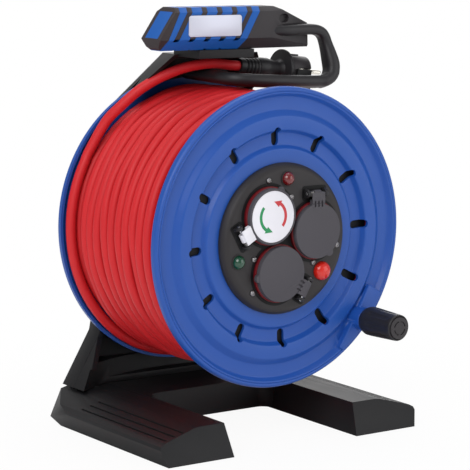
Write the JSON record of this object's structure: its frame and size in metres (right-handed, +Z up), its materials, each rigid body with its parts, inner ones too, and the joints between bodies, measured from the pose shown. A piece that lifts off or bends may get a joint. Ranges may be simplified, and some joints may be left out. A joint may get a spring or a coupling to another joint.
{
  "type": "extension cord reel",
  "caption": "Free-standing cable reel: a blue drum with lidded sockets turns on a black stand, with a crank knob, red cable, parked plug and carrying grip.",
  "frame": {"origin": "middle of the footprint, on the floor under the stand", "axes": "+Z up, -Y out of the drum's socket face, +X to the right as the socket face is looked at"},
  "size_m": [0.3058, 0.2656, 0.4133],
  "materials": {
    "black_plastic": "satin",
    "dark_grey_plastic": "satin",
    "blue_plastic": "satin",
    "soft_blue_rubber": "matt",
    "white_plastic": "satin",
    "red_cable": "satin",
    "signal_red": "glossy",
    "dark_red_seal": "matt",
    "red_lens": "glossy",
    "green_lens": "glossy",
    "steel": "satin",
    "nickel_brass": "polished"
  },
  "bodies": {
    "stand": {"base_frame": "black_plastic", "rear_frame": "black_plastic", "top_hood": "black_plastic", "handle_bow": "black_plastic", "grip_front_shell": "dark_grey_plastic", "grip_rear_shell": "dark_grey_plastic", "grip_cover": "soft_blue_rubber", "grip_name_plate": "white_plastic", "axle": "steel", "axle_nut_front": "steel", "axle_nut_rear": "steel", "front_washer": "steel", "rear_spacer": "steel", "base_screw_1": "steel", "base_screw_2": "steel", "base_screw_3": "steel", "base_screw_4": "steel", "hood_screw_1": "steel", "hood_screw_2": "steel", "plug_body": "black_plastic", "plug_boot": "black_plastic", "plug_face": "dark_grey_plastic", "plug_pin_front": "nickel_brass", "plug_pin_rear": "nickel_brass", "plug_holder": "black_plastic", "cable_lead": "red_cable"},
    "drum": {"front_flange": "blue_plastic", "rear_flange": "blue_plastic", "drum_barrel": "black_plastic", "front_bush": "white_plastic", "rear_bush": "white_plastic", "cable_inner_layers": "red_cable", "cable_winding": "red_cable", "socket_plate": "dark_grey_plastic", "socket_1": "dark_red_seal", "socket_2": "dark_red_seal", "socket_3": "dark_red_seal", "hinge_pin_1": "steel", "hinge_pin_2": "steel", "hinge_pin_3": "steel", "lid_spring_1": "steel", "lid_spring_2": "steel", "lid_spring_3": "steel", "rim_screw_1": "steel", "rim_screw_2": "steel", "rim_screw_3": "steel", "inner_screw_1": "steel", "inner_screw_2": "steel", "inner_screw_3": "steel", "lamp_red": "red_lens", "lamp_green": "green_lens", "thermal_cutout": "black_plastic", "crank_pin": "steel"},
    "right_lid": {"lid_right": "dark_grey_plastic"},
    "white_lid": {"lid_white": "white_plastic", "lid_bezel": "dark_grey_plastic"},
    "lower_lid": {"lid_lower": "dark_grey_plastic"},
    "button": {"reset_button": "signal_red"},
    "knob": {"crank_knob": "black_plastic", "knob_cap": "dark_grey_plastic"}
  },
  "joints": [
    {"name": "drum_spin", "type": "hinge", "parent": "stand", "child": "drum", "pos_m": [0, 0, 0.197], "axis": [0, -1, 0], "continuous": true, "deforming": ["cable_lead"]},
    {"name": "knob_spin", "type": "hinge", "parent": "drum", "child": "knob", "pos_m": [0.10022, -0.1072, 0.10957], "axis": [0, -1, 0], "continuous": true},
    {"name": "right_lid_hinge", "type": "hinge", "parent": "drum", "child": "right_lid", "pos_m": [0.03228, -0.0847, 0.23986], "axis": [-1, 0, 0], "range_deg": [0, 105], "stiffness_Nm_per_rad": 0.02, "springref_deg": -34.38},
    {"name": "white_lid_hinge", "type": "hinge", "parent": "drum", "child": "white_lid", "pos_m": [-0.05326, -0.0847, 0.20352], "axis": [0.5, 0, -0.866], "range_deg": [0, 105], "stiffness_Nm_per_rad": 0.02, "springref_deg": -34.38},
    {"name": "lower_lid_hinge", "type": "hinge", "parent": "drum", "child": "lower_lid", "pos_m": [0.02098, -0.0847, 0.14761], "axis": [0.5, 0, 0.866], "range_deg": [0, 105], "stiffness_Nm_per_rad": 0.02, "springref_deg": -34.38},
    {"name": "reset_press", "type": "slide", "parent": "drum", "child": "button", "axis": [0, 1, 0], "range_m": [0, 0.0025], "stiffness_N_per_m": 1200, "springref_m": -0.001}
  ]
}
